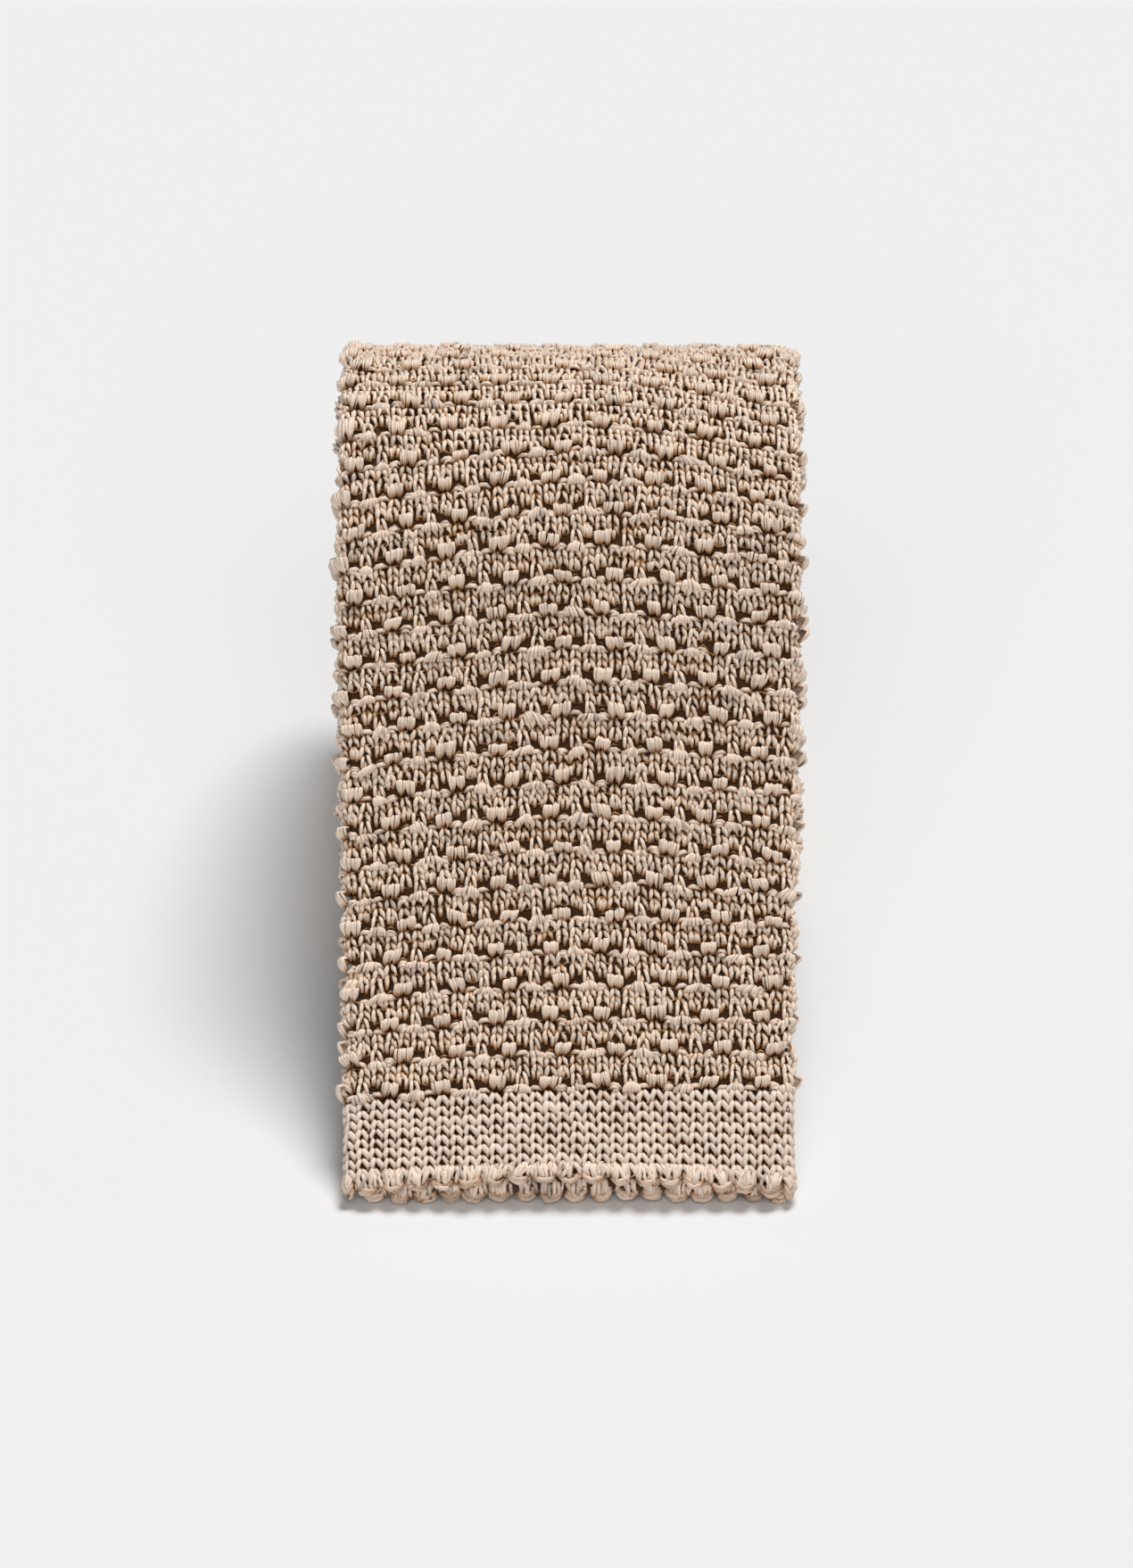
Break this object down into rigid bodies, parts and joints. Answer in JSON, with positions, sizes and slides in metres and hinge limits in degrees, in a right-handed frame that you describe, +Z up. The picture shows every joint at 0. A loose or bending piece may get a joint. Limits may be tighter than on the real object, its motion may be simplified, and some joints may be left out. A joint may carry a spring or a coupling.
{
  "type": "rolled knit tie",
  "caption": "Square-ended knitted tube tie rolled into a spiral and resting on its roll, the scalloped end of its blade run down in front to the surface.",
  "frame": {"origin": "on the surface that the rolled tie lies on, under the middle of its bounding box", "axes": "+Z up, -Y towards the front, where the end of the blade meets the surface, +X to the right across the width of the tie"},
  "size_m": [0.0638, 0.131, 0.0758],
  "materials": {
    "pattern_knit": "matte",
    "plain_knit": "matte",
    "scallop_yarn": "matte"
  },
  "bodies": {
    "root": {"hem_scallops_front": "scallop_yarn", "hem_scallops_back": "scallop_yarn", "hem_band": "plain_knit", "blade": "pattern_knit", "neck": "pattern_knit", "tail": "pattern_knit"}
  },
  "joints": []
}
